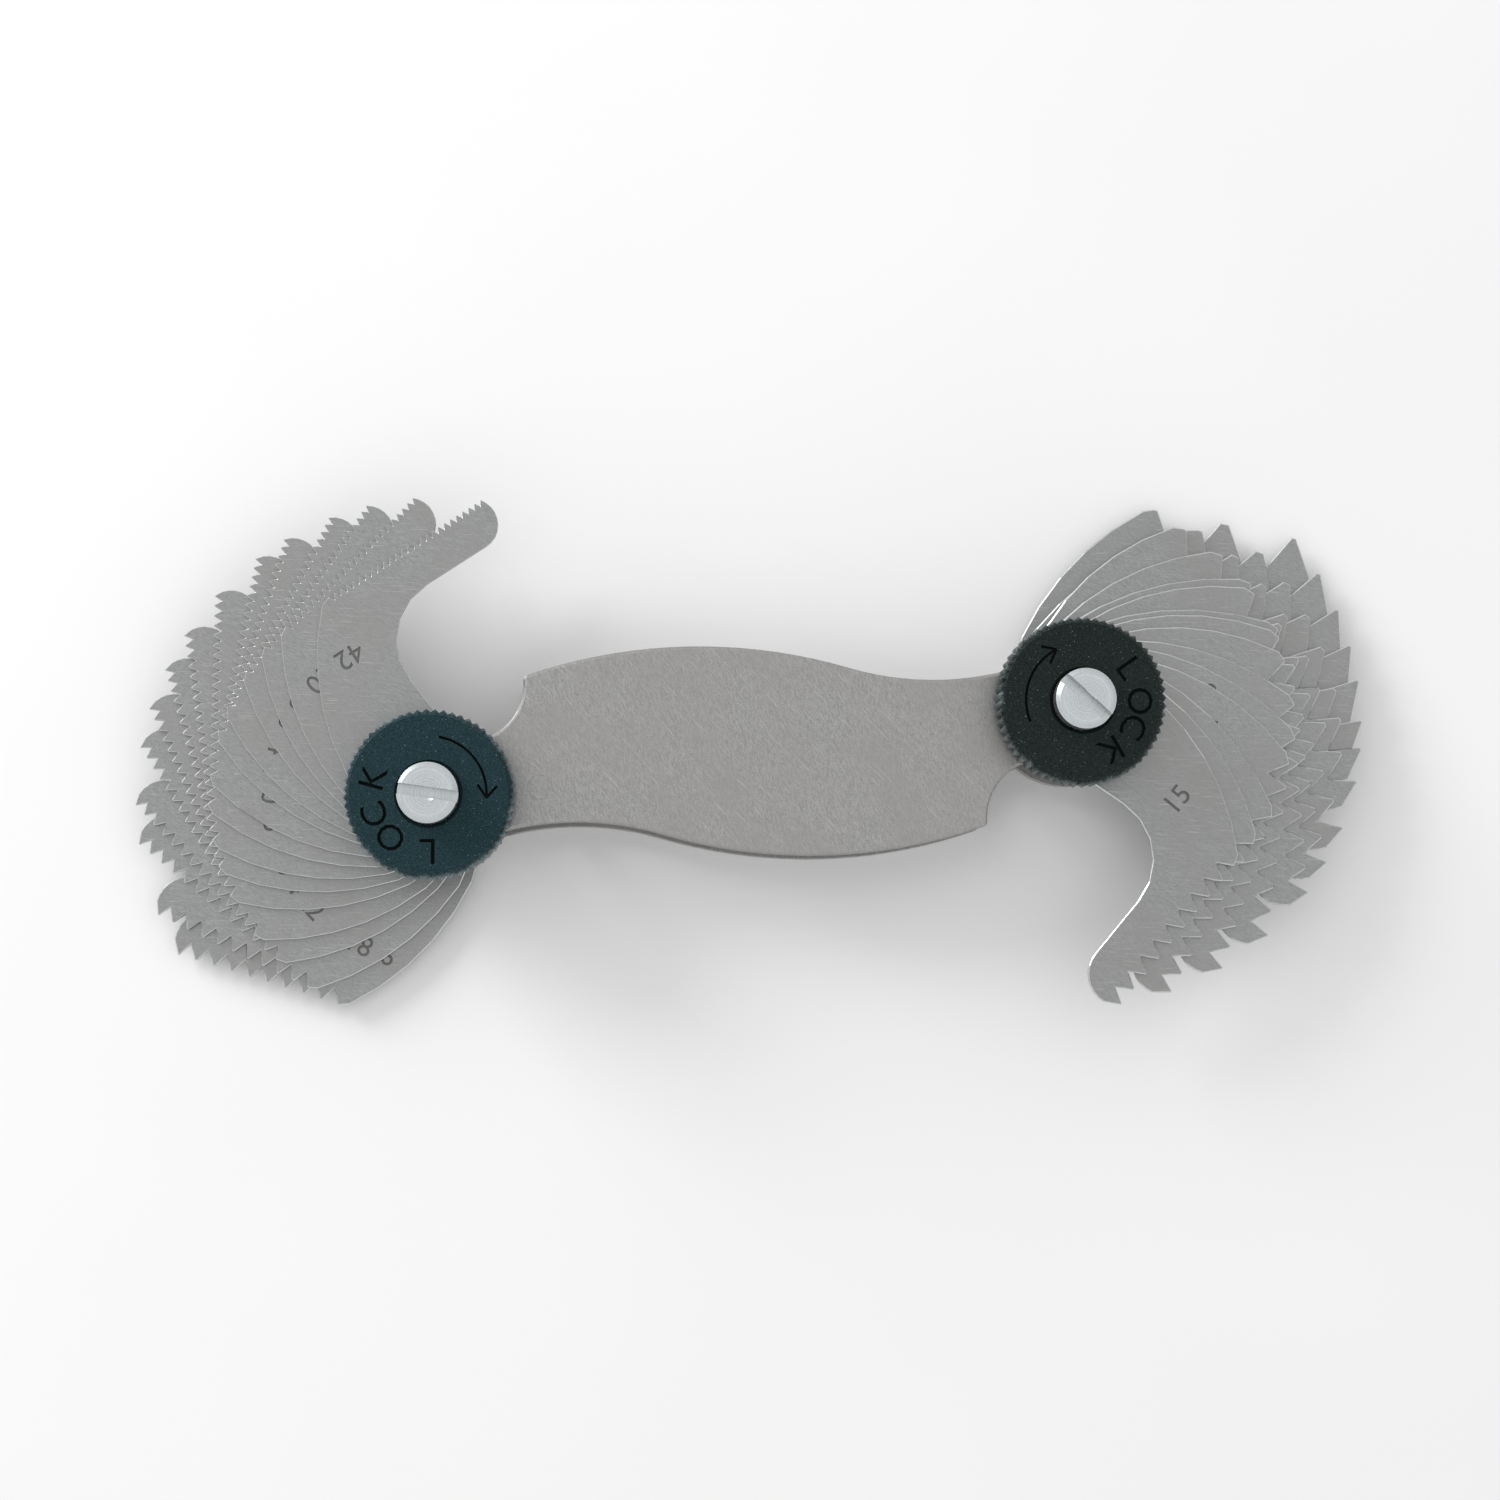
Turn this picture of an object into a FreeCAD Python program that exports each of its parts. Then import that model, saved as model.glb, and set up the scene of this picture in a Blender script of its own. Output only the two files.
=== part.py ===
import FreeCAD, Part
import os
from math import acos, atan2, cos, degrees, pi, radians, sin, sqrt, tan

# A folding thread pitch gauge: two fans of toothed leaves, one on the stud at each
# end of a two-plate case, and a knurled lock nut on each stud. Millimetres.
# X runs along the line of the two studs, Z up through the stack, and the origin is
# the middle of the back plate's outer face.

# ---------------------------------------------------------------- driving sizes
INCH = 25.4

LEFT_PITCHES = (42, 40, 38, 36, 34, 32, 30, 28, 27, 26, 24, 22, 20, 18, 16)
RIGHT_PITCHES = (15, 14, 13, 12, 11.5, 11, 10, 9, 8, 7, 6, 5.5, 5, 4.5, 4)
# Where each tip points as the fans lie spread out, in degrees round its own stud.
LEFT_SPREAD = (73, 86, 95, 102.5, 112, 118.5, 129, 138.5, 146, 154, 161.5, 172.5, 180, 194, 202.5)
RIGHT_SPREAD = (-90, -80, -69, -58, -46.5, -39.5, -32, -22.5, -16, -10.5, -2.5, 4.5, 12, 20, 28.5)

STUD_SPAN = 54.5            # stud centre to stud centre
STUD_DIAMETER = 5.0
STUD_PROUD = 2.1            # stud end above the nut's face
STUD_TIP_CHAMFER = 0.35
STUD_HEAD_DIAMETER = 6.6    # flush countersunk foot in the back plate
STUD_HEAD_HEIGHT = 0.6
SLOT_WIDTH = 0.9
SLOT_DEPTH = 1.1
LEFT_SLOT_ANGLE = -16.5
RIGHT_SLOT_ANGLE = -51.0
DIMPLE_DIAMETER = 1.5       # lathe centre in the stud's end
DIMPLE_DEPTH = 0.45

LEAF_THICKNESS = 0.38
LEAF_GAP = 0.04             # oil film and spring between neighbouring leaves
TIP_RADIUS = 25.4           # stud centre to the last crest
CREST_LINE = 18.9           # stud centre to the line of crests, measured square to it
TOOTHED_LENGTH = 15.3       # room for whole teeth between the last crest and the heel
TOOTH_ANGLE = 60.0
CREST_FLAT = 1 / 8          # share of the pitch left flat on each crest; the roots are sharp
FINGER_CORE = 3.1           # metal behind the roots
HEEL_LAND = 0.9             # short edge between the heel and the back
HEEL_LAND_ANGLE = 152.0
BACK_BULGE = 1.25           # rise of the curved back over its chord
LUG_RADIUS = 7.45           # nail corner, just outside the nut
LUG_ANGLE = 83.0
HUB_RADIUS = 4.6
NOTCH_RADIUS = 5.5          # hollow side that clears the stop pin
NOTCH_SHOULDER = 3.77       # stud centre to the near side of the notch, along the finger
END_FLANK = 0.87            # share of the pitch kept on the flank past the last crest
END_FLANK_LIMIT = 3.6
END_ROUND = 0.62            # radius of the finger's round end over the finger's width
# Thirty leaves repeat these curves, so each is cut as a few short straight facets.
END_FACETS = 8
BACK_FACETS = 5
HUB_FACETS = 6
NOTCH_FACETS = 5

PLATE_THICKNESS = 1.0
PLATE_END_RADIUS = 6.4
CORNER_ROUND = 0.45
CROWN_RADIUS = 44.4         # long convex edge over each fan's pocket
CROWN_X = 17.6              # its top, along X from the near stud
CROWN_Y = 9.8
WAIST_RADIUS = 25.0         # concave edge that runs on to the far stud
WAIST_BITE = 1.72           # how far that edge's circle reaches into the round end
CUTOUT_RADIUS = 4.85        # thumb cut-out beside the nut
CUTOUT_X = 4.05
CUTOUT_Y = 9.0

STOP_PIN_DIAMETER = 2.0
STOP_PIN_RADIUS = 9.0       # stud centre to stop pin centre
STOP_PIN_ANGLE = -3.0
SPACER_CLEARANCE = 0.45     # between the tips' sweep and the middle spacer
SPACER_HALF_LENGTH = 6.5

NUT_DIAMETER = 14.1
NUT_HEIGHT = 3.5
NUT_CHAMFER = 0.55
NUT_MOUTH_DIAMETER = 5.6    # relief round the stud at the nut's face
NUT_MOUTH_DEPTH = 0.8
KNURL_COUNT = 60
KNURL_DEPTH = 0.3
WASHER_DIAMETER = 10.5
WASHER_THICKNESS = 0.3

RUNNING_CLEARANCE = 0.04    # radial, round the studs
THREAD_CLEARANCE = 0.03     # radial, in the nuts
SEAT_CLEARANCE = 0.01       # radial, round parts riveted or pressed into a plate
FACE_CLEARANCE = 0.02       # between the nut, its washer and the front plate

# ---------------------------------------------------------------- derived sizes
LEAF_COUNT = max(len(LEFT_PITCHES), len(RIGHT_PITCHES))
LEAF_STEP = LEAF_THICKNESS + LEAF_GAP
STACK_HEIGHT = LEAF_COUNT * LEAF_STEP + LEAF_GAP
FRONT_PLATE_Z = PLATE_THICKNESS + STACK_HEIGHT
CASE_HEIGHT = FRONT_PLATE_Z + PLATE_THICKNESS
WASHER_Z = CASE_HEIGHT + FACE_CLEARANCE
NUT_Z = WASHER_Z + WASHER_THICKNESS + FACE_CLEARANCE
STUD_TOP = NUT_Z + NUT_HEIGHT + STUD_PROUD
STUD_RADIUS = STUD_DIAMETER / 2
LEFT_STUD_X = -STUD_SPAN / 2
RIGHT_STUD_X = STUD_SPAN / 2
UP = FreeCAD.Vector(0, 0, 1)


def vec(x, y, z=0.0):
    return FreeCAD.Vector(x, y, z)


def polar(radius, angle):
    """Point at a radius and an angle in degrees."""
    return vec(radius * cos(radians(angle)), radius * sin(radians(angle)))


def line(a, b):
    return Part.LineSegment(a, b).toShape()


def arc_on_circle(centre, radius, start, end, sense):
    """Arc from start to end round a centre; sense is +1 anticlockwise, -1 clockwise."""
    a = atan2(start.y - centre.y, start.x - centre.x)
    b = atan2(end.y - centre.y, end.x - centre.x)
    turn = (b - a) * sense % (2 * pi)
    middle = a + sense * turn / 2
    through = centre + vec(radius * cos(middle), radius * sin(middle))
    return Part.Arc(start, through, end).toShape()


def facets(centre, radius, start, end, sense, count):
    """Points along an arc after start, up to and with end, in equal steps."""
    a = atan2(start.y - centre.y, start.x - centre.x)
    b = atan2(end.y - centre.y, end.x - centre.x)
    step = sense * ((b - a) * sense % (2 * pi)) / count
    turns = [a + step * (i + 1) for i in range(count - 1)]
    return [centre + vec(radius * cos(t), radius * sin(t)) for t in turns] + [end]


def facets_by_rise(a, b, rise, count):
    """Points along an arc from a to b that rises to the right of the way from a to b."""
    way = b - a
    radius = (way.Length ** 2 / 4 + rise ** 2) / (2 * rise)
    side = vec(way.y, -way.x) / way.Length
    centre = (a + b) / 2 + side * (rise - radius)
    return facets(centre, radius, a, b, 1, count)


def circles_meet(c1, r1, c2, r2, side):
    """Where two circles cross; side +1 is to the left of the way from c1 to c2."""
    way = c2 - c1
    along = (r1 ** 2 - r2 ** 2 + way.Length ** 2) / (2 * way.Length)
    across = sqrt(r1 ** 2 - along ** 2)
    unit = way / way.Length
    return c1 + unit * along + vec(-unit.y, unit.x) * across * side


def polygon_face(*corners):
    return Part.Face(Part.makePolygon(list(corners) + [corners[0]]))


def ring(outer, inner, z, height):
    body = Part.makeCylinder(outer, height, vec(0, 0, z), UP)
    hole = Part.makeCylinder(inner, height, vec(0, 0, z), UP)
    return body.cut(hole)


def at_stud(shape, x, turn=0.0):
    """Turn a shape made round its own stud and set it on the stud at x."""
    placed = shape.copy()
    placed.rotate(vec(0, 0), UP, turn)
    placed.translate(vec(x, 0))
    return placed


# ---------------------------------------------------------------- leaves
def tooth_depth(pitch):
    return pitch * (1 - CREST_FLAT) / 2 / tan(radians(TOOTH_ANGLE / 2))


def finger_axes():
    """Unit vectors square to the crests, outwards, and along them towards the heel."""
    lean = acos(CREST_LINE / TIP_RADIUS)
    return vec(cos(lean), sin(lean)), vec(-sin(lean), cos(lean))


def tooth_points(pitch):
    """Corners of the teeth from the last crest, at the tip, to the heel's crest."""
    out, along = finger_axes()
    tip = vec(TIP_RADIUS, 0)
    crest_half = pitch * CREST_FLAT / 2
    teeth = int(TOOTHED_LENGTH // pitch)
    corners = [tip]
    for tooth in range(teeth):
        crest = tip + along * (tooth * pitch)
        corners.append(crest + along * crest_half)
        corners.append(crest + along * (pitch / 2) - out * tooth_depth(pitch))
        corners.append(crest + along * (pitch - crest_half))
    corners.append(tip + along * (teeth * pitch))
    return corners


def leaf_outline(pitch):
    """Corners round a leaf whose last crest lies on +X, from that crest by way of the heel."""
    out, along = finger_axes()
    width = FINGER_CORE + tooth_depth(pitch)
    inner = CREST_LINE - width
    tip = vec(TIP_RADIUS, 0)
    teeth = tooth_points(pitch)

    # round end of the finger, from the flank past the last crest to the inner edge
    flank = (along * -sin(radians(TOOTH_ANGLE / 2))) - out * cos(radians(TOOTH_ANGLE / 2))
    flank_end = tip + flank * min(END_FLANK * pitch, END_FLANK_LIMIT)
    end_radius = END_ROUND * width
    rise = inner + end_radius - flank_end.dot(out)
    end_along = flank_end.dot(along) + sqrt(end_radius ** 2 - rise ** 2)
    end_centre = out * (inner + end_radius) + along * end_along
    end_foot = end_centre - out * end_radius

    # notch tangent to the inner edge, and the straight from the hub that touches both
    notch_centre = out * (inner - NOTCH_RADIUS) - along * (NOTCH_SHOULDER + NOTCH_RADIUS)
    notch_top = notch_centre + out * NOTCH_RADIUS
    bearing = degrees(atan2(notch_centre.y, notch_centre.x))
    swing = degrees(acos((HUB_RADIUS + NOTCH_RADIUS) / notch_centre.Length))
    hub_leave = polar(HUB_RADIUS, bearing - swing)
    notch_start = notch_centre - polar(NOTCH_RADIUS, bearing - swing)

    # curved back from the heel land to the nail corner, then straight on to the hub
    heel = teeth[-1]
    back_start = heel + polar(HEEL_LAND, HEEL_LAND_ANGLE)
    lug = polar(LUG_RADIUS, LUG_ANGLE)
    hub_join = polar(HUB_RADIUS, LUG_ANGLE + degrees(acos(HUB_RADIUS / LUG_RADIUS)))

    corners = teeth + [back_start]
    corners += facets_by_rise(back_start, lug, BACK_BULGE, BACK_FACETS)
    corners.append(hub_join)
    corners += facets(vec(0, 0), HUB_RADIUS, hub_join, hub_leave, 1, HUB_FACETS)
    corners.append(notch_start)
    corners += facets(notch_centre, NOTCH_RADIUS, notch_start, notch_top, -1, NOTCH_FACETS)
    corners.append(end_foot)
    corners += facets(end_centre, end_radius, end_foot, flank_end, 1, END_FACETS)
    return corners


def leaf(threads_per_inch, level):
    """Leaf for one pitch, counted down from the top of its stack."""
    z = PLATE_THICKNESS + LEAF_GAP + (LEAF_COUNT - 1 - level) * LEAF_STEP
    blank = polygon_face(*leaf_outline(INCH / threads_per_inch)).extrude(UP * LEAF_THICKNESS)
    hole = Part.makeCylinder(STUD_RADIUS + RUNNING_CLEARANCE, LEAF_THICKNESS)
    body = blank.cut(hole)
    body.translate(vec(0, 0, z))
    return body


# ---------------------------------------------------------------- case
def plate_outline():
    """Outline of both plates: one half, then the same half turned half round."""
    left = vec(LEFT_STUD_X, 0)
    right = vec(RIGHT_STUD_X, 0)
    crown = left + vec(CROWN_X, CROWN_Y - CROWN_RADIUS)
    waist_reach = WAIST_RADIUS + PLATE_END_RADIUS - WAIST_BITE
    waist = circles_meet(crown, CROWN_RADIUS + WAIST_RADIUS, right, waist_reach, 1)
    cutout = left + vec(CUTOUT_X, CUTOUT_Y)
    corner = circles_meet(crown, CROWN_RADIUS - CORNER_ROUND, cutout, CUTOUT_RADIUS + CORNER_ROUND, -1)

    leave = circles_meet(left, PLATE_END_RADIUS, cutout, CUTOUT_RADIUS, -1)
    corner_in = cutout + (corner - cutout) * (CUTOUT_RADIUS / (CUTOUT_RADIUS + CORNER_ROUND))
    corner_out = crown + (corner - crown) * (CROWN_RADIUS / (CROWN_RADIUS - CORNER_ROUND))
    join = crown + (waist - crown) * (CROWN_RADIUS / (CROWN_RADIUS + WAIST_RADIUS))
    finish = circles_meet(waist, WAIST_RADIUS, right, PLATE_END_RADIUS, -1)
    half = [
        arc_on_circle(left, PLATE_END_RADIUS, -finish, leave, -1),
        arc_on_circle(cutout, CUTOUT_RADIUS, leave, corner_in, 1),
        arc_on_circle(corner, CORNER_ROUND, corner_in, corner_out, -1),
        arc_on_circle(crown, CROWN_RADIUS, corner_out, join, -1),
        arc_on_circle(waist, WAIST_RADIUS, join, finish, 1),
    ]
    return Part.Wire(half + [edge.rotated(vec(0, 0), UP, 180) for edge in half])


def plate(z):
    body = Part.Face(plate_outline()).extrude(UP * PLATE_THICKNESS)
    body.translate(UP * z)
    return body


def stud_head(clearance):
    """Countersunk foot, widest at z = 0."""
    top = STUD_RADIUS + clearance
    return Part.makeCone(STUD_HEAD_DIAMETER / 2 + clearance, top, STUD_HEAD_HEIGHT)


def pin_centre(stud_x):
    """Stop pin beside the stud at stud_x, on the case side."""
    place = polar(STOP_PIN_RADIUS, STOP_PIN_ANGLE)
    side = 1 if stud_x < 0 else -1
    return vec(stud_x, 0) + place * side


def pin_hole(stud_x):
    return Part.makeCylinder(STOP_PIN_DIAMETER / 2 + SEAT_CLEARANCE, CASE_HEIGHT, pin_centre(stud_x), UP)


def back_plate():
    body = plate(0)
    for x in (LEFT_STUD_X, RIGHT_STUD_X):
        shank = Part.makeCylinder(STUD_RADIUS + SEAT_CLEARANCE, PLATE_THICKNESS)
        body = body.cut(at_stud(shank.fuse(stud_head(SEAT_CLEARANCE)), x)).cut(pin_hole(x))
    return body


def front_plate():
    body = plate(FRONT_PLATE_Z)
    for x in (LEFT_STUD_X, RIGHT_STUD_X):
        hole = Part.makeCylinder(STUD_RADIUS + RUNNING_CLEARANCE, CASE_HEIGHT)
        body = body.cut(at_stud(hole, x)).cut(pin_hole(x))
    return body


def stop_pin(stud_x):
    """Plain pin pressed into both plates and dressed flush."""
    return Part.makeCylinder(STOP_PIN_DIAMETER / 2, CASE_HEIGHT, pin_centre(stud_x), UP)


def middle_spacer():
    """Waisted block between the two tip sweeps that keeps the plates apart."""
    sweep = TIP_RADIUS + SPACER_CLEARANCE
    half_width = RIGHT_STUD_X - sqrt(sweep ** 2 - SPACER_HALF_LENGTH ** 2)
    left_low = vec(-half_width, -SPACER_HALF_LENGTH)
    left_high = vec(-half_width, SPACER_HALF_LENGTH)
    right_low = vec(half_width, -SPACER_HALF_LENGTH)
    right_high = vec(half_width, SPACER_HALF_LENGTH)
    edges = [
        arc_on_circle(vec(LEFT_STUD_X, 0), sweep, left_low, left_high, 1),
        line(left_high, right_high),
        arc_on_circle(vec(RIGHT_STUD_X, 0), sweep, right_high, right_low, 1),
        line(right_low, left_low),
    ]
    body = Part.Face(Part.Wire(edges)).extrude(UP * STACK_HEIGHT)
    body.translate(vec(0, 0, PLATE_THICKNESS))
    return body


# ---------------------------------------------------------------- studs and nuts
def stud(slot_angle):
    """Stud with a flush foot, a chamfered end, a driver slot and a lathe centre."""
    body = Part.makeCylinder(STUD_RADIUS, STUD_TOP).fuse(stud_head(0.0))
    rim = [e for e in body.Edges if e.Vertexes and all(abs(v.Z - STUD_TOP) < 1e-6 for v in e.Vertexes)]
    body = body.makeChamfer(STUD_TIP_CHAMFER, rim)
    slot = Part.makeBox(STUD_DIAMETER, SLOT_WIDTH, SLOT_DEPTH)
    slot.translate(vec(-STUD_RADIUS, -SLOT_WIDTH / 2, STUD_TOP - SLOT_DEPTH))
    slot.rotate(vec(0, 0), UP, slot_angle)
    dimple = Part.makeCone(0, DIMPLE_DIAMETER / 2, DIMPLE_DEPTH, vec(0, 0, STUD_TOP - DIMPLE_DEPTH), UP)
    return body.cut(slot).cut(dimple)


def nut_ring(crest, root, z):
    """Knurl crests and roots in turn round the nut at one height; equal radii make it round."""
    step = 360 / KNURL_COUNT
    points = []
    for tooth in range(KNURL_COUNT):
        points.append(polar(crest, tooth * step) + UP * z)
        points.append(polar(root, (tooth + 0.5) * step) + UP * z)
    return points


def band(low, high):
    """Flat faces between two rings of as many points."""
    faces = []
    for i in range(len(low)):
        after = (i + 1) % len(low)
        faces.append(polygon_face(low[i], low[after], high[i]))
        faces.append(polygon_face(low[after], high[after], high[i]))
    return faces


def lock_nut():
    """Knurled nut: straight knurl up to a chamfered round rim, relieved at its mouth."""
    crest = NUT_DIAMETER / 2
    root = crest - KNURL_DEPTH
    face = crest - NUT_CHAMFER
    rings = [
        nut_ring(crest, root, 0),
        nut_ring(crest, root, NUT_HEIGHT - NUT_CHAMFER),
        nut_ring(face, face, NUT_HEIGHT),
    ]
    faces = [polygon_face(*rings[0]), polygon_face(*rings[-1])]
    for low, high in zip(rings, rings[1:]):
        faces += band(low, high)
    body = Part.Solid(Part.Shell(faces))
    bore = Part.makeCylinder(STUD_RADIUS + THREAD_CLEARANCE, NUT_HEIGHT)
    mouth_z = NUT_HEIGHT - NUT_MOUTH_DEPTH
    mouth = Part.makeCylinder(NUT_MOUTH_DIAMETER / 2, NUT_MOUTH_DEPTH, vec(0, 0, mouth_z), UP)
    body = body.cut(bore.fuse(mouth))
    body.translate(vec(0, 0, NUT_Z))
    return body


def washer():
    return ring(WASHER_DIAMETER / 2, STUD_RADIUS + RUNNING_CLEARANCE, WASHER_Z, WASHER_THICKNESS)


# ---------------------------------------------------------------- assembly
def leaf_name(threads_per_inch):
    return "leaf_" + str(threads_per_inch).replace(".", "_") + "_tpi"


def fan(pitches, spread, stud_x):
    """Leaves of one stack, top leaf first."""
    made = {}
    for level, threads_per_inch in enumerate(pitches):
        made[leaf_name(threads_per_inch)] = at_stud(leaf(threads_per_inch, level), stud_x, spread[level])
    return made


def build():
    nodes = {
        "back_plate": back_plate(),
        "front_plate": front_plate(),
        "middle_spacer": middle_spacer(),
        "stop_pin_left": stop_pin(LEFT_STUD_X),
        "stop_pin_right": stop_pin(RIGHT_STUD_X),
        "stud_left": at_stud(stud(LEFT_SLOT_ANGLE), LEFT_STUD_X),
        "stud_right": at_stud(stud(RIGHT_SLOT_ANGLE), RIGHT_STUD_X),
        "washer_left": at_stud(washer(), LEFT_STUD_X),
        "washer_right": at_stud(washer(), RIGHT_STUD_X),
        "lock_nut_left": at_stud(lock_nut(), LEFT_STUD_X),
        "lock_nut_right": at_stud(lock_nut(), RIGHT_STUD_X),
    }
    nodes.update(fan(LEFT_PITCHES, LEFT_SPREAD, LEFT_STUD_X))
    nodes.update(fan(RIGHT_PITCHES, RIGHT_SPREAD, RIGHT_STUD_X))
    return nodes


os.makedirs("parts", exist_ok=True)
for name, shape in build().items():
    shape.exportStep("parts/" + name + ".step")
    print(name, len(shape.Solids), round(shape.Volume, 2), shape.isValid())
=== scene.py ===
# %% [markdown]
# A folding thread pitch gauge: two fans of toothed steel leaves, each turning on a stud at one
# end of a two-plate case, with a black knurled nut that locks each fan.
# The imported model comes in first, as a fixed frame. Its shapes are right, so this lesson dresses
# them: it copies a piece where an edge must be broken or a mark stamped, and gives every piece
# its own finish. The frame is in metres, and mm = 0.001 keeps its sizes readable.

# %% Load the frame
import bpy
import bmesh
from math import atan2, degrees, hypot, radians
from mathutils import Matrix, Vector


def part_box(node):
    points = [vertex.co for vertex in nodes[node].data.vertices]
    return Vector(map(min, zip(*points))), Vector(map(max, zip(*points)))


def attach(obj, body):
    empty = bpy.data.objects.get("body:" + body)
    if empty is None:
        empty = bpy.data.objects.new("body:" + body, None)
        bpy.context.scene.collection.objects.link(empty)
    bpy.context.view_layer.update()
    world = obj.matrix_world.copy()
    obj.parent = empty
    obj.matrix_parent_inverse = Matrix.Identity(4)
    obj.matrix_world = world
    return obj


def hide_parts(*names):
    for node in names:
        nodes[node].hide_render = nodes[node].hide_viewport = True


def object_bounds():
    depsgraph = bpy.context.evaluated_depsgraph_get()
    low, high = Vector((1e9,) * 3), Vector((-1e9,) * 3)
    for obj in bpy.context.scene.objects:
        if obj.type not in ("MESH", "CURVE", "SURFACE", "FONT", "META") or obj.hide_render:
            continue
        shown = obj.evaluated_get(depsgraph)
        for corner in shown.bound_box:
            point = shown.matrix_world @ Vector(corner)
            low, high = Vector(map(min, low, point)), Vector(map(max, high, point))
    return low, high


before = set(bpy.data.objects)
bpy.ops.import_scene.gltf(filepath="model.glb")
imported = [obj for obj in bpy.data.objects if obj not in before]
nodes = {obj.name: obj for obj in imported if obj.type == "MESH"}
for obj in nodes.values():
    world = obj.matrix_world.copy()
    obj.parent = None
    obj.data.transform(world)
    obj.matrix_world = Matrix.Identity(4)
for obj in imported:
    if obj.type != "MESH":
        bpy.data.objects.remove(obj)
mm = 0.001
cad_low, cad_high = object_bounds()
scene = bpy.context.scene
print("frame:", len(nodes), "nodes, size in mm", [round(s / mm, 1) for s in cad_high - cad_low])

# %% [markdown]
# The camera stands a quarter of a metre above the gauge and looks almost straight down. Turning
# a plain downward view by three small angles gives its direction, which is easier to adjust than
# a target and a roll. The angles turn the world into the camera's view, so the camera itself is
# turned by their inverse, which for a rotation is the transpose.

# %% Camera
LOOK_AT = Vector((-0.4545, 0.1305, 8.0)) * mm
CAMERA_DISTANCE = 250 * mm
CAMERA_LENS = 71.71
TILT, SWING, ROLL = -0.0798, 0.0373, 0.1424

view_turn = Matrix.Rotation(SWING, 3, "Y") @ Matrix.Rotation(TILT, 3, "X") @ Matrix.Rotation(ROLL, 3, "Z")
camera_turn = view_turn.transposed()
camera_data = bpy.data.cameras.new("camera")
camera_data.lens = CAMERA_LENS
camera_data.clip_start, camera_data.clip_end = 0.01, 10
camera = bpy.data.objects.new("camera", camera_data)
stand = LOOK_AT + camera_turn @ Vector((0, 0, CAMERA_DISTANCE))
camera.matrix_world = Matrix.Translation(stand) @ camera_turn.to_4x4()
scene.collection.objects.link(camera)
scene.camera = camera
print("camera at", [round(c / mm, 1) for c in stand])

# %% [markdown]
# Nodes are easier to read as sums. Wire holds one output socket and turns +, - and * into Math
# nodes, with the reflected forms so that 1 - wire works too. Tree holds a node tree, and its node
# method adds any other node: settings first, because some of them change which sockets exist.

# %% Wire and Tree
class Wire:
    """One output socket of a node."""

    def __init__(self, tree, socket):
        self.tree, self.socket = tree, socket

    def __add__(self, other):
        return self.tree.math("ADD", self, other)

    def __sub__(self, other):
        return self.tree.math("SUBTRACT", self, other)

    def __rsub__(self, other):
        return self.tree.math("SUBTRACT", other, self)

    def __mul__(self, other):
        return self.tree.math("MULTIPLY", self, other)

    __radd__, __rmul__ = __add__, __mul__

    def part(self, output):
        """Another output of the same node."""
        return Wire(self.tree, self.socket.node.outputs[output])

    def above(self, edge, softness):
        """0 below the edge, 1 above it, with a soft step between."""
        return self.tree.node("ShaderNodeMapRange", {"interpolation_type": "SMOOTHSTEP"},
                              {"Value": self, "From Min": edge - softness, "From Max": edge + softness})


class Tree:
    """A node tree that nodes are added to."""

    def __init__(self, graph):
        self.graph = graph

    def join(self, value, socket):
        if isinstance(value, Wire):
            self.graph.links.new(value.socket, socket)
        else:
            opaque = socket.type == "RGBA" and len(value) == 3
            socket.default_value = (*value, 1) if opaque else value

    def node(self, kind, settings=None, inputs=None, output=0):
        made = self.graph.nodes.new(kind)
        for key, value in (settings or {}).items():
            setattr(made, key, value)
        for key, value in (inputs or {}).items():
            self.join(value, made.inputs[key])
        return Wire(self, made.outputs[output])

    def math(self, operation, *values):
        return self.node("ShaderNodeMath", {"operation": operation}, dict(enumerate(values)))


# %% [markdown]
# Paint is the tree of one material. All patterns read Object coordinates. Every piece sits at the
# origin with its place in its mesh, so those are the frame's own metres, and they travel with a
# leaf when it swings. A Mapping node of the TEXTURE kind divides by its scale, so a grain's size
# in millimetres can be given as it is.

# %% Paint
stud_low, stud_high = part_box("stud_right")
STUD_X = (stud_low.x + stud_high.x) / 2 / mm
print("studs stand", round(2 * STUD_X, 2), "mm apart")


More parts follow.
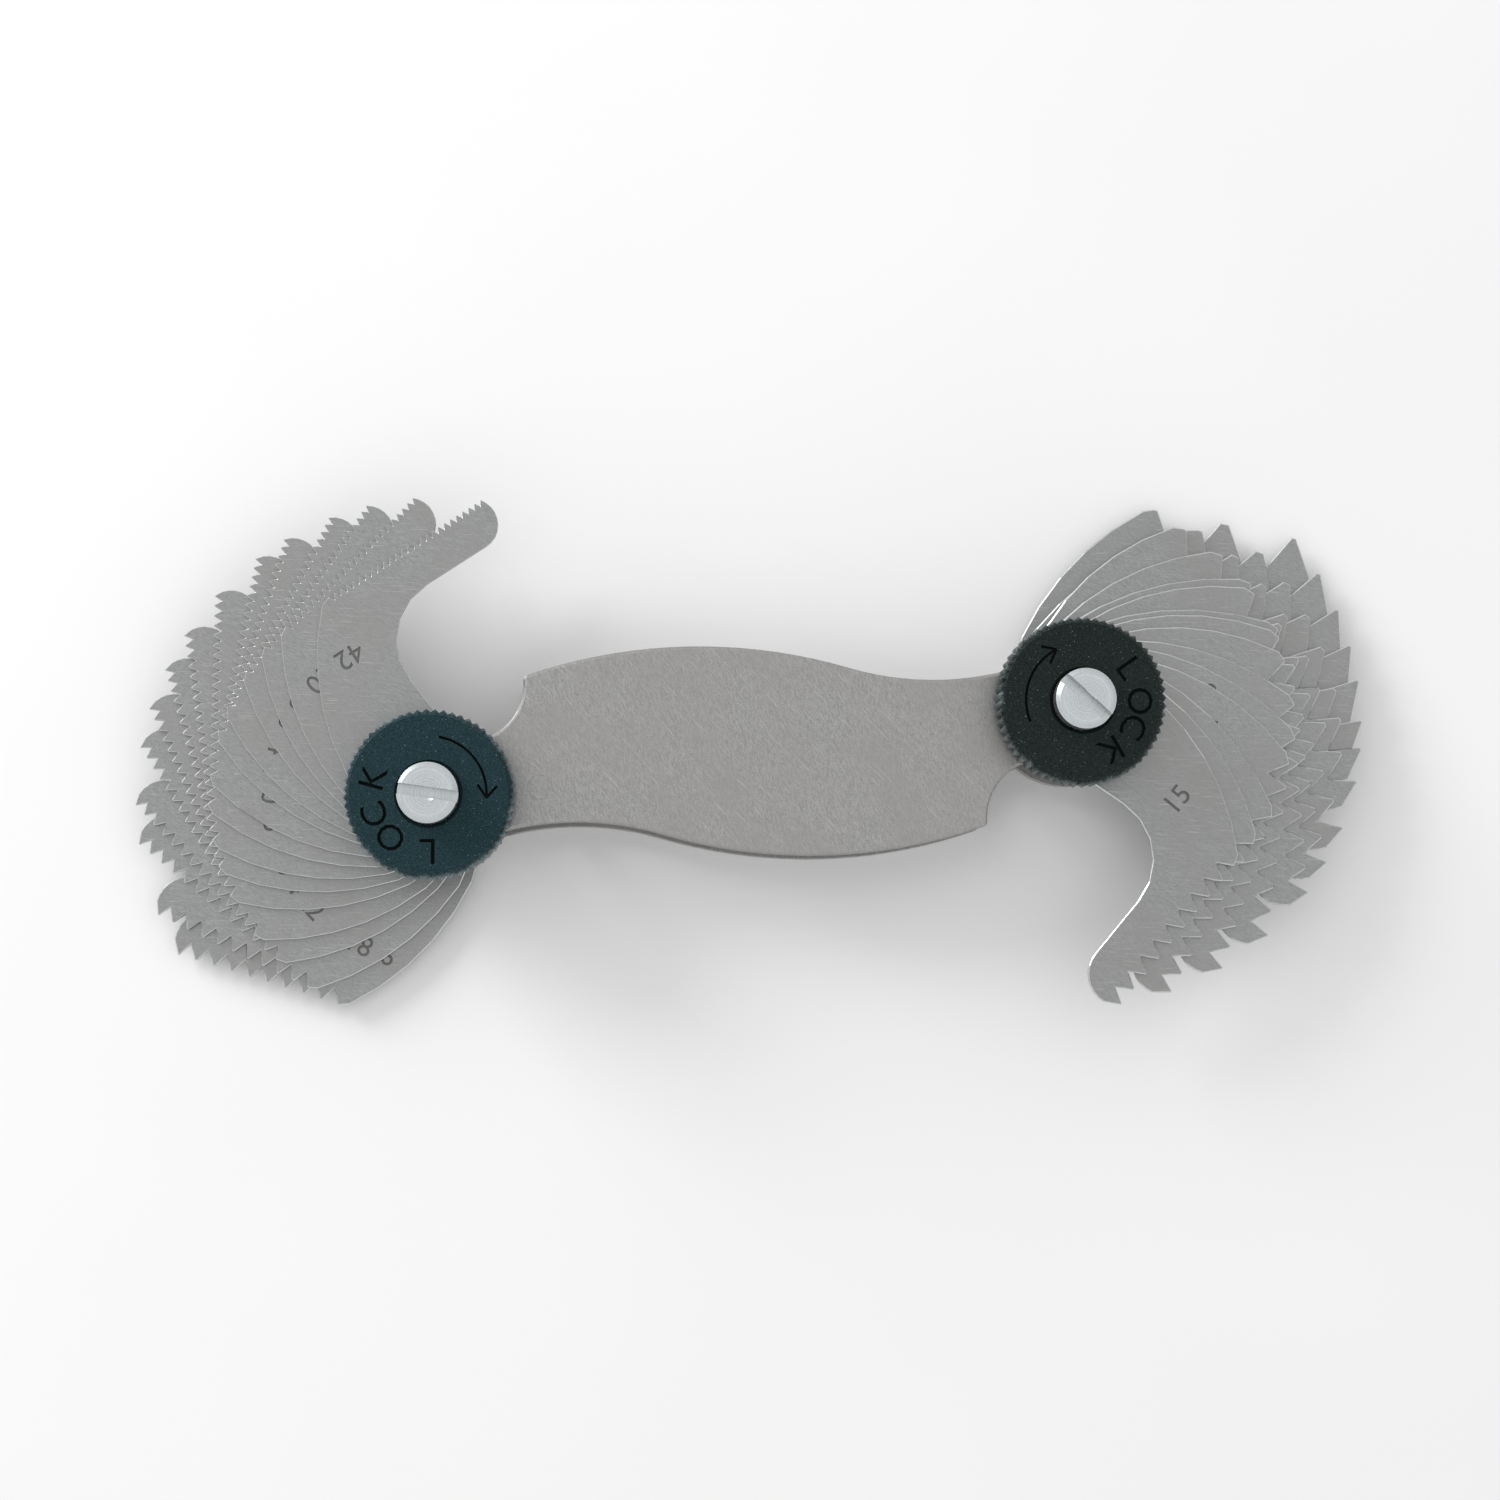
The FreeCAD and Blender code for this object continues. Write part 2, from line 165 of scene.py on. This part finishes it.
class Paint(Tree):
    """A material, with the constant sockets of its shader set by name."""

    def __init__(self, name, **constants):
        self.material = bpy.data.materials.new(name)
        self.material.use_nodes = True
        super().__init__(self.material.node_tree)
        self.shader = self.graph.nodes["Principled BSDF"]
        for socket, value in constants.items():
            self.shader.inputs[socket.replace("_", " ")].default_value = value

    def place(self, grain=(1, 1, 1), turn=0.0):
        """Object coordinates, turned about Z and measured in grains of this size in mm."""
        here = self.node("ShaderNodeTexCoord", output="Object")
        return self.node("ShaderNodeMapping", {"vector_type": "TEXTURE"},
                         {"Vector": here, "Rotation": (0, 0, turn), "Scale": [g * mm for g in grain]})

    def noise(self, grain, turn=0.0, detail=2.0, rough=0.5):
        """Smooth random values about 0.5, in spots of the grain's size."""
        where = self.place(grain, turn)
        return self.node("ShaderNodeTexNoise", None,
                         {"Vector": where, "Scale": 1.0, "Detail": detail, "Roughness": rough})

    def blend(self, share, first, second):
        """Colour that goes from the first to the second."""
        return self.node("ShaderNodeMix", {"data_type": "RGBA"}, {0: share, 6: first, 7: second}, 2)

    def from_stud(self):
        """Distance in mm from the axis of the nearer stud, and height in mm."""
        x = self.node("ShaderNodeSeparateXYZ", None, {0: self.place()})
        y, z = x.part(1), x.part(2)
        along = self.math("ABSOLUTE", x) - STUD_X
        return self.math("SQRT", along * along + y * y), z

    def finish(self, colour, roughness, height=None, depth=0.0):
        """Join the finish to the shader. A height from 0 to 1 stands for a depth in mm."""
        self.join(colour, self.shader.inputs["Base Color"])
        self.join(roughness, self.shader.inputs["Roughness"])
        if height is not None:
            relief = {"Strength": 1.0, "Distance": depth * mm, "Height": height}
            self.join(self.node("ShaderNodeBump", None, relief), self.shader.inputs["Normal"])
        return self.material


# %% [markdown]
# The gauge lies on a plain pale floor under soft light. A metal shows what it mirrors, so the
# sky matters most: it is white for mirror and camera rays and dimmer for the rest. A large soft
# lamp stands low at the upper left, where only the broken edges mirror it, so that the flats keep
# the colour that is written for them.

# %% Sky, floor and lamp
SKY_LEVEL = 0.80
LAMP_PLACE = Vector((-0.40, 0.42, 0.22))
LAMP_SIZE = 0.30
LAMP_WATTS = 2.6
FLOOR_RADIUS = 1.5
FLOOR_GAP = 0.05 * mm


def sky(level):
    """A white world, dimmed to a level for the rays that light dull surfaces."""
    world = bpy.data.worlds.new("sky")
    world.use_nodes = True
    air = Tree(world.node_tree)
    rays = air.node("ShaderNodeLightPath", output="Is Camera Ray")
    mirrored = air.math("MAXIMUM", rays.part("Is Glossy Ray"), rays.part("Is Transmission Ray"))
    seen = air.math("MAXIMUM", rays, mirrored)
    ground = air.graph.nodes["Background"]
    air.join((1.0, 1.0, 1.0), ground.inputs["Color"])
    air.join(seen * (1.0 - level) + level, ground.inputs["Strength"])
    return world


def lamp(name, place, size, watts):
    """A round lamp that looks at the gauge."""
    data = bpy.data.lights.new(name, "AREA")
    data.shape, data.size, data.energy = "DISK", size, watts
    made = bpy.data.objects.new(name, data)
    aim = (place - LOOK_AT).to_track_quat("Z", "Y").to_matrix().to_4x4()
    made.matrix_world = Matrix.Translation(place) @ aim
    scene.collection.objects.link(made)


def flat_disc(name, radius, height):
    shape = bmesh.new()
    bmesh.ops.create_circle(shape, cap_ends=True, segments=64, radius=radius,
                            matrix=Matrix.Translation((0, 0, height)))
    mesh = bpy.data.meshes.new(name)
    shape.to_mesh(mesh)
    shape.free()
    made = bpy.data.objects.new(name, mesh)
    scene.collection.objects.link(made)
    return made


scene.world = sky(SKY_LEVEL)
scene.view_settings.view_transform = "Standard"
lamp("lamp_upper_left", LAMP_PLACE, LAMP_SIZE, LAMP_WATTS)

floor = flat_disc("floor", FLOOR_RADIUS, cad_low.z - FLOOR_GAP)
floor_paint = Paint("floor_matt", Specular_IOR_Level=0.0)
floor_colour = floor_paint.blend(floor_paint.noise((40, 40, 40)), (0.90, 0.90, 0.90), (0.94, 0.94, 0.94))
floor.data.materials.append(floor_paint.finish(floor_colour, 0.9))
print("floor, sky and lamp are in place")

# %% [markdown]
# The plates and leaves are spring steel with a satin rolled finish: a fine upright grain, a
# speckle of about a tenth of a millimetre, and slow warm clouds from handling. Grain and speckle
# make one tone, which drives the colour and the roughness, and they drive a very low bump too,
# so that light and relief agree. Long thin noise, cut high, leaves a few scratches.

# %% Satin steel
GRAIN = (0.09, 0.50, 0.50)
SPECKLE = (0.13, 0.13, 0.13)
CLOUD, CLOUD_TURN = (5.0, 7.0, 5.0), 0.3
SCRATCH, SCRATCH_LEAN = (0.05, 2.6, 0.50), 0.5
SCRATCH_GREY = (0.62, 0.62, 0.61)


def satin_steel(name, dark, light, warm, grain_turn):
    paint = Paint(name, Metallic=1.0)
    grain = paint.noise(GRAIN, grain_turn)
    speckle = paint.noise(SPECKLE, detail=3.0, rough=0.6)
    cloud = paint.noise(CLOUD, CLOUD_TURN)
    scratch = paint.noise(SCRATCH, grain_turn + SCRATCH_LEAN, detail=1.0).above(0.70, 0.03)
    tone = (grain * 0.5 + speckle * 0.5).above(0.5, 0.22)
    handled = paint.blend(cloud.above(0.5, 0.2) * 0.55, paint.blend(tone, dark, light), warm)
    colour = paint.blend(scratch * 0.35, handled, SCRATCH_GREY)
    relief = grain * 0.4 + speckle * 0.6 + scratch * 0.3
    return paint.finish(colour, 0.34 + tone * 0.12 + cloud * 0.10, relief, 0.004)


plate_steel = satin_steel("plate_steel_satin", (0.240, 0.238, 0.234), (0.400, 0.398, 0.394),
                          (0.315, 0.300, 0.292), 0.14)
leaf_steel = satin_steel("leaf_steel_ground", (0.235, 0.242, 0.240), (0.352, 0.362, 0.362),
                         (0.290, 0.284, 0.278), 0.9)
print("satin steels:", plate_steel.name, leaf_steel.name)

# %% [markdown]
# Where an edge was broken with a fine stone the steel is smoother, and it is painted brighter, as a
# highlight along the edge. It is a finish of its own, given only to the narrow faces that the bevel makes. A
# struck number is the reverse: its floor is rough, and it is painted darker, as the shade in its recess.
# Both are one speckle between two tones.

# %% Speckled finishes
def speckled(name, spot, dark, light, smooth, spread, metallic=1.0, gloss=0.5):
    """Spots of a size between two tones, whose roughness runs from smooth over a spread."""
    paint = Paint(name, Metallic=metallic, Specular_IOR_Level=gloss)
    spots = paint.noise((spot, spot, spot))
    return paint.finish(paint.blend(spots, dark, light), smooth + spots * spread)


# The bevelled edge faces are smoother, and their lighter colour is a painted highlight along every edge.
stoned_edge_painted_highlight = speckled("stoned_edge_painted_highlight", 0.2, (0.42, 0.43, 0.43), (0.66, 0.67, 0.67), 0.24, 0.12)
# The struck marks are rougher, and their darker colour is painted shade in the shallow recess.
struck_mark_painted_shade = speckled("struck_mark_painted_shade", 0.12, (0.10, 0.10, 0.10), (0.20, 0.20, 0.19), 0.45, 0.20)
print("edge and mark finishes:", stoned_edge_painted_highlight.name, struck_mark_painted_shade.name)

# %% [markdown]
# The stud ends were turned, so their marks are rings round the stud's own axis. The distance
# from that axis, stretched a lot, feeds a noise, and each ring gets its own tone.

# %% Turned bright steel
RINGS_PER_MM = 9.0

turned = Paint("turned_bright_steel", Metallic=1.0)
radius, height = turned.from_stud()
ring_place = turned.node("ShaderNodeCombineXYZ", None, {0: radius * RINGS_PER_MM, 1: height * 2.0})
rings = turned.node("ShaderNodeTexNoise", None, {"Vector": ring_place, "Scale": 1.0, "Detail": 2.0})
dust = turned.noise((0.15, 0.15, 0.15), detail=3.0)
shine = (rings * 0.6 + dust * 0.4).above(0.5, 0.25)
ring_colour = turned.blend(shine, (0.42, 0.45, 0.46), (0.60, 0.64, 0.65))
turned_steel = turned.finish(ring_colour, 0.26 + shine * 0.16, rings, 0.003)
print("turned finish:", turned_steel.name)

# %% [markdown]
# The nuts are black oxide over steel: nearly black with a blue-green cast and a fine sparkle.
# Towards the outside radius the oxide turns grey. Part of this is wear where fingers rub the knurl, and part
# is a painted highlight on the chamfer ring and the knurl's crests. The mask is the distance from the stud,
# roughened by noise so that it doesn't end in a clean ring. In the stamped marks the oxide is untouched, so
# they are blacker than the face.

# %% Black oxide
nut_low, nut_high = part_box("lock_nut_right")
NUT_RIM = (nut_high.x - nut_low.x) / 2 / mm
WEAR_AND_HIGHLIGHT_START = NUT_RIM - 0.16
GLINT_GREY = (0.30, 0.34, 0.35)


def black_oxide(name, deep, sheen, worn_and_highlit):
    paint = Paint(name, Metallic=0.45, Specular_IOR_Level=0.15)
    radius, height = paint.from_stud()
    speckle = paint.noise((0.11, 0.11, 0.11), detail=3.0, rough=0.65)
    patch = paint.noise((1.6, 1.6, 1.6))
    body = paint.blend(speckle.above(0.52, 0.16), deep, sheen)
    glint = paint.noise((0.10, 0.22, 0.2), 0.7, detail=1.0).above(0.735, 0.02)
    spotted = paint.blend(glint * 0.6, body, GLINT_GREY)
    # Grey towards the rim: partly finger wear, and partly a painted highlight on the chamfer ring and
    # crests.
    rub_and_highlight = (radius + (speckle - 0.5) * 0.9 + (patch - 0.5) * 0.8).above(WEAR_AND_HIGHLIGHT_START, 0.22)
    roughness = 0.50 - rub_and_highlight * 0.12 + (speckle - 0.5) * 0.2
    return paint.finish(paint.blend(rub_and_highlight * 0.8, spotted, worn_and_highlit), roughness, speckle * 0.7 + patch * 0.3, 0.012)


left_oxide = black_oxide("black_oxide_blue", (0.006, 0.022, 0.028), (0.022, 0.052, 0.060),
                         (0.20, 0.26, 0.28))
right_oxide = black_oxide("black_oxide_green", (0.005, 0.010, 0.009), (0.020, 0.030, 0.028),
                          (0.16, 0.20, 0.20))
mark_black = speckled("oxide_in_marks", 0.15, (0.002, 0.003, 0.003), (0.006, 0.010, 0.010), 0.6, 0.2,
                      metallic=0.2, gloss=0.1)
print("nut radius", round(NUT_RIM, 2), "mm")

# %% [markdown]
# A pressed plate never has a knife edge. The frame's meshes are loose triangles, so a copy is
# merged first, its flat triangles are dissolved into whole faces, and only the rims between a
# flat face and a wall are bevelled. A Bevel modifier would find the same edges by angle, but it
# would take the bores too, and these must stay sharp and round on their studs.
# From here on a piece is worked in millimetres. The last step makes triangles of its faces and
# takes it back to metres.

# %% Copy a piece and break its rims
FLAT, UPRIGHT = 0.9, 0.1
WELD = 0.0008
STUDS = [(-STUD_X, 0), (STUD_X, 0)]
BORE_REACH = 3.6


def merged(node):
    """A node's mesh in mm, welded, with whole flat faces."""
    shape = bmesh.new()
    shape.from_mesh(nodes[node].data)
    bmesh.ops.scale(shape, verts=shape.verts, vec=[1 / mm] * 3)
    bmesh.ops.remove_doubles(shape, verts=shape.verts, dist=WELD)
    bmesh.ops.dissolve_limit(shape, angle_limit=radians(0.4), verts=shape.verts, edges=shape.edges)
    return shape


def is_rim(edge):
    tops = [f for f in edge.link_faces if abs(f.normal.z) > FLAT]
    walls = [f for f in edge.link_faces if abs(f.normal.z) < UPRIGHT]
    return len(tops) == 1 and len(walls) == 1


def away_from(edge, centres, radius):
    """Whether an edge's middle is farther than a radius from each centre in a plan view."""
    middle = (edge.verts[0].co + edge.verts[1].co) / 2
    return all(hypot(middle.x - x, middle.y - y) > radius for x, y in centres)


def off_bore(edge):
    return away_from(edge, STUDS, BORE_REACH)


def break_rims(shape, width, segments, keep):
    """Bevel the rims that keep allows. The new faces get the piece's second material."""
    rims = [e for e in shape.edges if is_rim(e) and keep(e)]
    made = bmesh.ops.bevel(shape, geom=rims, offset=width, offset_type="OFFSET", segments=segments,
                           profile=0.5, affect="EDGES", material=-1, clamp_overlap=False, loop_slide=True)
    for face in made["faces"]:
        face.material_index = 1
    return len(rims)


def loose(name, shape, materials):
    """Object with a finished bmesh and its materials."""
    mesh = bpy.data.meshes.new(name)
    shape.to_mesh(mesh)
    shape.free()
    for material in materials:
        mesh.materials.append(material)
    made = bpy.data.objects.new(name, mesh)
    scene.collection.objects.link(made)
    return made


def piece(name, shape, body, materials, stands_for):
    """Turn a bmesh in mm into a piece in metres that rides on a body."""
    bmesh.ops.triangulate(shape, faces=shape.faces)
    bmesh.ops.scale(shape, verts=shape.verts, vec=[mm] * 3)
    made = loose(name, shape, materials)
    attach(made, body)
    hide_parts(stands_for)
    return made


print("rims keep", BORE_REACH, "mm away from the studs' axes")

# %% [markdown]
# Stamped marks are cut with a Boolean. A text object becomes a mesh before its place is applied,
# its doubles are merged so that it is a closed solid, and it is set half above the surface. The
# cut is shallow, as a stamp's is, and its faces take a finish of their own.

# %% Cut marks into a piece
CAP_SHARE = 0.70
GLYPH_WELD = 0.0005


def glyph(text, height, reach, place):
    """Closed mesh of a word, its middle at the origin, reaching up and down, then put in its place."""
    curve = bpy.data.curves.new("glyph", "FONT")
    curve.body, curve.size, curve.extrude = text, height / CAP_SHARE, reach
    curve.resolution_u = 3
    curve.align_x, curve.align_y = "CENTER", "CENTER"
    letter = bpy.data.objects.new("glyph", curve)
    scene.collection.objects.link(letter)
    bpy.context.view_layer.update()
    mesh = bpy.data.meshes.new_from_object(letter.evaluated_get(bpy.context.evaluated_depsgraph_get()))
    bpy.data.objects.remove(letter)
    shape = bmesh.new()
    shape.from_mesh(mesh)
    bmesh.ops.remove_doubles(shape, verts=shape.verts, dist=GLYPH_WELD)
    bmesh.ops.recalc_face_normals(shape, faces=shape.faces)
    shape.transform(place)
    return shape


def cut(shape, cutters, materials):
    """Take closed cutters out of a bmesh. The faces that they leave get the last material."""
    target = loose("target", shape, materials)
    for cutter in cutters:
        for face in cutter.faces:
            face.material_index = len(materials) - 1
        tool = loose("tool", cutter, materials)
        modifier = target.modifiers.new("mark", "BOOLEAN")
        modifier.operation, modifier.solver, modifier.object = "DIFFERENCE", "EXACT", tool
        bpy.context.view_layer.update()
        marked = target.evaluated_get(bpy.context.evaluated_depsgraph_get())
        target.data = bpy.data.meshes.new_from_object(marked)
        target.modifiers.remove(modifier)
        bpy.data.objects.remove(tool)
    result = bmesh.new()
    result.from_mesh(target.data)
    bpy.data.objects.remove(target)
    return result


def on_stud(side, turn=0.0, z=0.0):
    """Place whose origin is on a stud's axis, turned by some degrees, in mm."""
    return Matrix.Translation((side * STUD_X, 0, z)) @ Matrix.Rotation(radians(turn), 4, "Z")


def shift(x, y=0.0):
    return Matrix.Translation((x, y, 0))


def turned_by(angle):
    return Matrix.Rotation(radians(angle), 4, "Z")


# %% [markdown]
# The case is two rolled plates with rounded rims. The rim of each outer face is broad and soft,
# so it gets three segments, and the inner rim hardly any. The holes keep their edges.

# %% Plates
OUTER_ROUND = 0.28
INNER_BREAK = 0.06
PIN_REACH = 2.0
SAME_HEIGHT = 0.01


def pin_centre(node):
    low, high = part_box(node)
    return (low.x + high.x) / 2 / mm, (low.y + high.y) / 2 / mm


def rims_at(height):
    """A test for the rims at one height that go round the plate and not round a hole."""
    def keep(edge):
        level = abs(edge.verts[0].co.z - height) < SAME_HEIGHT
        return level and off_bore(edge) and away_from(edge, PINS, PIN_REACH)
    return keep


PINS = [pin_centre("stop_pin_left"), pin_centre("stop_pin_right")]
for node, outside in (("front_plate", 1), ("back_plate", 0)):
    heights = [corner.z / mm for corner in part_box(node)]
    shape = merged(node)
    count = break_rims(shape, OUTER_ROUND, 3, rims_at(heights[outside]))
    count += break_rims(shape, INNER_BREAK, 1, rims_at(heights[1 - outside]))
    dressed = piece(node + "_rolled", shape, "case", (plate_steel, plate_steel), node)
    print(dressed.name, count, "rim edges,", len(dressed.data.polygons), "faces")

# %% [markdown]
# Each leaf is the same job thirty times: merge a copy, break both rims and stamp the number. A
# fine tooth has little crest to lose, so the break is a share of the pitch there: were it wider,
# the two sides of a crest would cross, and the face would fill wrongly. The number runs along
# the toothed edge, square to a line from the stud, with its top towards the stud. A leaf's angle
# isn't stored anywhere, but its last crest is its farthest corner from the stud, and that is
# enough to place the mark.

# %% Leaves
INCH = 25.4
EDGE_BREAK = 0.10
CREST_SHARE = 0.055
LEAN = 41.9
MARK_HEIGHT = 1.7
MARK_DEPTH = 0.07
MARK_REACH = {-1: 13.8, 1: 11.7}
MARK_PLACE = -0.6


def tip_angle(shape, x):
    """Angle in degrees of the corner that is farthest from the stud, in the frame."""
    far = max(shape.verts, key=lambda v: hypot(v.co.x - x, v.co.y))
    return degrees(atan2(far.co.y, far.co.x - x))


def stud_side(shape):
    """The side of the stud that the leaf's bore goes round: -1 is left and 1 is right."""
    bore = min(shape.verts, key=lambda v: hypot(abs(v.co.x) - STUD_X, v.co.y))
    return 1 if bore.co.x > 0 else -1


leaf_finish = (leaf_steel, stoned_edge_painted_highlight, struck_mark_painted_shade)
leaf_nodes = sorted(n for n in nodes if n.startswith("leaf_"))
for node in leaf_nodes:
    number = node.removeprefix("leaf_").removesuffix("_tpi").replace("_", ".")
    shape = merged(node)
    side = stud_side(shape)
    across = tip_angle(shape, side * STUD_X) + LEAN
    break_rims(shape, min(EDGE_BREAK, CREST_SHARE * INCH / float(number)), 1, off_bore)
    top = on_stud(side, across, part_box(node)[1].z / mm)
    mark = glyph(number, MARK_HEIGHT, MARK_DEPTH, top @ shift(MARK_REACH[side], MARK_PLACE) @ turned_by(90))
    shape = cut(shape, [mark], leaf_finish)
    dressed = piece(node + "_dressed", shape, node, leaf_finish, node)
print(len(leaf_nodes), "leaves dressed; the last is", node, "with", len(dressed.data.polygons), "faces")

# %% [markdown]
# The nuts carry the word LOCK, stamped letter by letter round the face with the tops outwards,
# and an arrow bent round the other side. The letters are cut as the numbers were. The arrow's
# shaft is a small square spun about the stud, and its two barbs are slim blocks.

# %% Lock nuts
LETTER_RADIUS = 4.6
LETTER_HEIGHT = 2.1
ARROW_RADIUS = 4.75
ARROW_STEPS = 18
GROOVE = 0.21
GROOVE_DEPTH = 0.30
BARB_LENGTH = 1.3
BARB_LEAN = 38


def bar(length, place):
    """A straight groove from the origin along X."""
    size = Matrix.Diagonal((length, GROOVE, 2 * GROOVE_DEPTH, 1))
    shape = bmesh.new()
    bmesh.ops.create_cube(shape, size=1, matrix=place @ shift(length / 2) @ size)
    return shape


def bent_bar(radius, start, end, place):
    """A square groove of some degrees round the origin, clockwise from start to end."""
    shape = bmesh.new()
    around = ((-1, -1), (1, -1), (1, 1), (-1, 1))
    corners = [(radius + u * GROOVE / 2, 0, w * GROOVE_DEPTH) for u, w in around]
    square = shape.faces.new([shape.verts.new(corner) for corner in corners])
    shape.transform(turned_by(start))
    bmesh.ops.spin(shape, geom=[square] + square.verts[:] + square.edges[:], cent=(0, 0, 0), axis=(0, 0, 1),
                   angle=radians(end - start), steps=ARROW_STEPS, use_merge=False, use_duplicate=False)
    bmesh.ops.recalc_face_normals(shape, faces=shape.faces)
    shape.transform(place)
    return shape


def lock_nut(name, side, letters, arrow, oxide):
    """Stamp LOCK at four angles and an arrow from one angle to another, in degrees."""
    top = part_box(name)[1].z / mm
    cutters = []
    for letter, angle in zip("LOCK", letters):
        place = on_stud(side, angle - 90, top) @ shift(0, LETTER_RADIUS)
        cutters.append(glyph(letter, LETTER_HEIGHT, GROOVE_DEPTH, place))
    start, end = arrow
    cutters.append(bent_bar(ARROW_RADIUS, start, end, on_stud(side, 0, top)))
    for lean in (90 - BARB_LEAN, 90 + BARB_LEAN):
        cutters.append(bar(BARB_LENGTH, on_stud(side, end, top) @ shift(ARROW_RADIUS) @ turned_by(lean)))
    finishes = (oxide, mark_black)
    shape = cut(merged(name), cutters, finishes)
    dressed = piece(name + "_dressed", shape, name, finishes, name)
    print(dressed.name, len(dressed.data.polygons), "faces")


lock_nut("lock_nut_left", -1, (-98, 221, 193, 156), (72, -12), left_oxide)
lock_nut("lock_nut_right", 1, (27, -9, -36, -69), (194, 109), right_oxide)

# %% [markdown]
# The studs, washers, pins and the spacer keep the frame's own meshes, whose shape is right, and only take a
# finish. A pin sits flush with its plate and has the plate's steel. The nodes that a dressed piece stands
# for are hidden, and take plain leaf steel.

# %% Small parts
def give(node, material):
    materials = nodes[node].data.materials
    materials.clear()
    materials.append(material)


for node in ("stud_left", "stud_right", "washer_left", "washer_right"):
    give(node, turned_steel)
for node in ("stop_pin_left", "stop_pin_right", "middle_spacer"):
    give(node, plate_steel)
hidden = [node for node in nodes if nodes[node].hide_render]
for node in hidden:
    give(node, leaf_steel)
print("small parts finished,", len(hidden), "nodes hidden behind dressed pieces")
